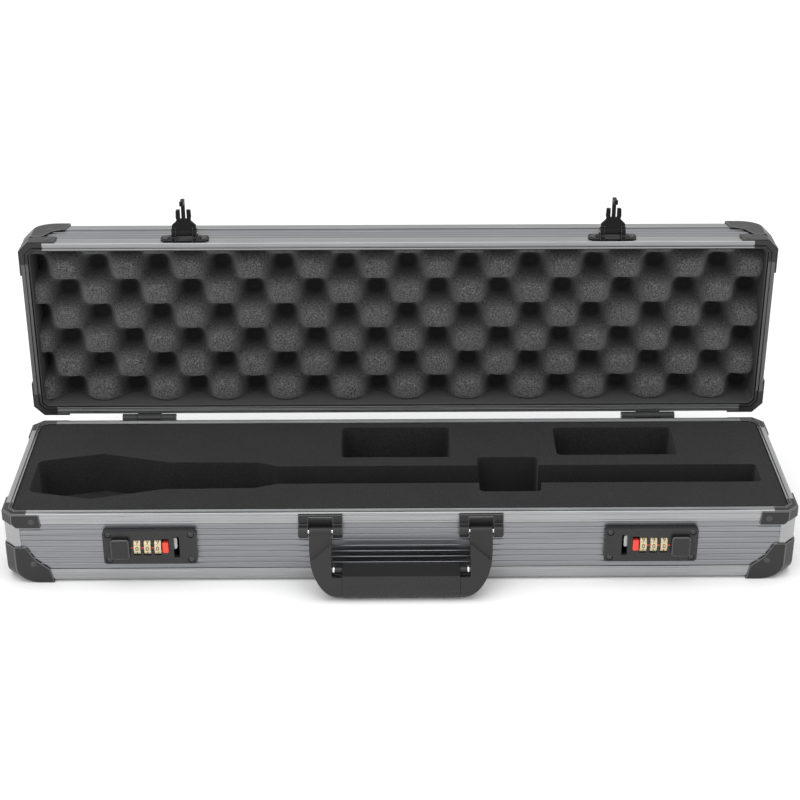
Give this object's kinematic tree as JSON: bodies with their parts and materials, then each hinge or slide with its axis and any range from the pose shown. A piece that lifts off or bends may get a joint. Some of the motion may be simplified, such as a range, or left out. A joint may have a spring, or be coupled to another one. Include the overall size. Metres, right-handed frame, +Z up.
{
  "type": "telescope carry case",
  "caption": "Long hard carry case with an aluminium frame, ribbed walls, a foam tray cut for a slim optical tube, an egg-crate foam lid, code locks, hasps and a folding handle.",
  "frame": {"origin": "middle of the base's footprint, on the plane of its corner caps' undersides", "axes": "+X along the case, from the left lock to the right one as seen from the front; the locks and the handle face -Y; +Z up; the lid stands open behind"},
  "size_m": [0.6022, 0.2265, 0.2505],
  "materials": {
    "rib_panel": "brushed, ribbed",
    "rail": "satin anodised",
    "deck": "smooth sheet",
    "corner": "fine grain",
    "rivet": "dark plated",
    "tray": "dense closed-cell foam",
    "egg_foam": "open-cell convoluted foam",
    "lining": "short pile",
    "hinge": "black, satin",
    "pin": "polished",
    "handle": "fine grain",
    "grip": "semi-gloss",
    "lock": "black, semi-gloss",
    "housing": "black",
    "button": "polished black",
    "catch": "white",
    "red": "red",
    "wheel": "pale gold, satin",
    "hasp": "black with worn edges"
  },
  "bodies": {
    "base": {"base_floor": "deck", "base_panel_front": "rib_panel", "base_panel_back": "rib_panel", "base_panel_ends": "rib_panel", "base_rim_long": "rail", "base_rim_ends": "rail", "base_foot_rails": "rail", "base_posts": "rail", "base_rim_corners": "corner", "base_corner_caps": "corner", "base_rivets": "rivet", "tray_pad": "tray", "tray_foam": "tray", "hinge_base_leaves": "hinge", "hinge_pins": "pin", "handle_brackets": "handle", "handle_pins": "pin", "lock_plates": "lock", "lock_housings": "housing", "lock_screws": "lock", "lock_index_marks": "red", "lock_axles": "pin"},
    "lid": {"lid_top": "deck", "lid_panel_front": "rib_panel", "lid_panel_back": "rib_panel", "lid_panel_ends": "rib_panel", "lid_rim_long": "rail", "lid_rim_ends": "rail", "lid_edge_rails": "rail", "lid_posts": "rail", "lid_rim_corners": "corner", "lid_corner_caps": "corner", "lid_rivets": "rivet", "lid_lining": "lining", "lid_egg_foam": "egg_foam", "hinge_lid_leaves": "hinge", "hasp_brackets": "hasp", "hasp_screws": "hasp", "hasp_pins": "pin"},
    "handle": {"handle_arms": "handle", "handle_rod": "pin", "handle_grip": "grip"},
    "hasp_left": {"hasp_arm_left": "hasp"},
    "button_left": {"lock_button_left": "button", "lock_catch_left": "catch"},
    "slider_left": {"lock_slider_left": "red"},
    "wheel_left_1": {"lock_wheel_left_1": "wheel"},
    "wheel_left_2": {"lock_wheel_left_2": "wheel"},
    "wheel_left_3": {"lock_wheel_left_3": "wheel"},
    "hasp_right": {"hasp_arm_right": "hasp"},
    "button_right": {"lock_button_right": "button", "lock_catch_right": "catch"},
    "slider_right": {"lock_slider_right": "red"},
    "wheel_right_1": {"lock_wheel_right_1": "wheel"},
    "wheel_right_2": {"lock_wheel_right_2": "wheel"},
    "wheel_right_3": {"lock_wheel_right_3": "wheel"}
  },
  "joints": [
    {"name": "lid_hinge", "type": "hinge", "parent": "base", "child": "lid", "pos_m": [0, 0.079, 0.0602], "axis": [1, 0, 0], "range_deg": [0, 90]},
    {"name": "handle_swing", "type": "hinge", "parent": "base", "child": "handle", "pos_m": [0, -0.081, 0.047], "axis": [-1, 0, 0], "range_deg": [-10, 70]},
    {"name": "hasp_left_swing", "type": "hinge", "parent": "lid", "child": "hasp_left", "pos_m": [-0.1689, 0.0858, 0.2207], "axis": [1, 0, 0], "range_deg": [0, 90], "stiffness_Nm_per_rad": 0.002, "springref_deg": -34.38},
    {"name": "button_left_slide", "type": "slide", "parent": "base", "child": "button_left", "axis": [-1, 0, 0], "range_m": [0, 0.0025]},
    {"name": "slider_left_slide", "type": "slide", "parent": "base", "child": "slider_left", "axis": [0, 0, 1], "range_m": [0, 0.0025]},
    {"name": "wheel_left_1_turn", "type": "hinge", "parent": "base", "child": "wheel_left_1", "pos_m": [-0.1986, -0.0733, 0.0327], "axis": [1, 0, 0], "continuous": true},
    {"name": "wheel_left_2_turn", "type": "hinge", "parent": "base", "child": "wheel_left_2", "pos_m": [-0.1908, -0.0733, 0.0327], "axis": [1, 0, 0], "continuous": true},
    {"name": "wheel_left_3_turn", "type": "hinge", "parent": "base", "child": "wheel_left_3", "pos_m": [-0.183, -0.0733, 0.0327], "axis": [1, 0, 0], "continuous": true},
    {"name": "hasp_right_swing", "type": "hinge", "parent": "lid", "child": "hasp_right", "pos_m": [0.1689, 0.0858, 0.2207], "axis": [1, 0, 0], "range_deg": [0, 90], "stiffness_Nm_per_rad": 0.002, "springref_deg": -34.38},
    {"name": "button_right_slide", "type": "slide", "parent": "base", "child": "button_right", "axis": [1, 0, 0], "range_m": [0, 0.0025]},
    {"name": "slider_right_slide", "type": "slide", "parent": "base", "child": "slider_right", "axis": [0, 0, 1], "range_m": [0, 0.0025]},
    {"name": "wheel_right_1_turn", "type": "hinge", "parent": "base", "child": "wheel_right_1", "pos_m": [0.1986, -0.0733, 0.0327], "axis": [1, 0, 0], "continuous": true},
    {"name": "wheel_right_2_turn", "type": "hinge", "parent": "base", "child": "wheel_right_2", "pos_m": [0.1908, -0.0733, 0.0327], "axis": [1, 0, 0], "continuous": true},
    {"name": "wheel_right_3_turn", "type": "hinge", "parent": "base", "child": "wheel_right_3", "pos_m": [0.183, -0.0733, 0.0327], "axis": [1, 0, 0], "continuous": true}
  ]
}
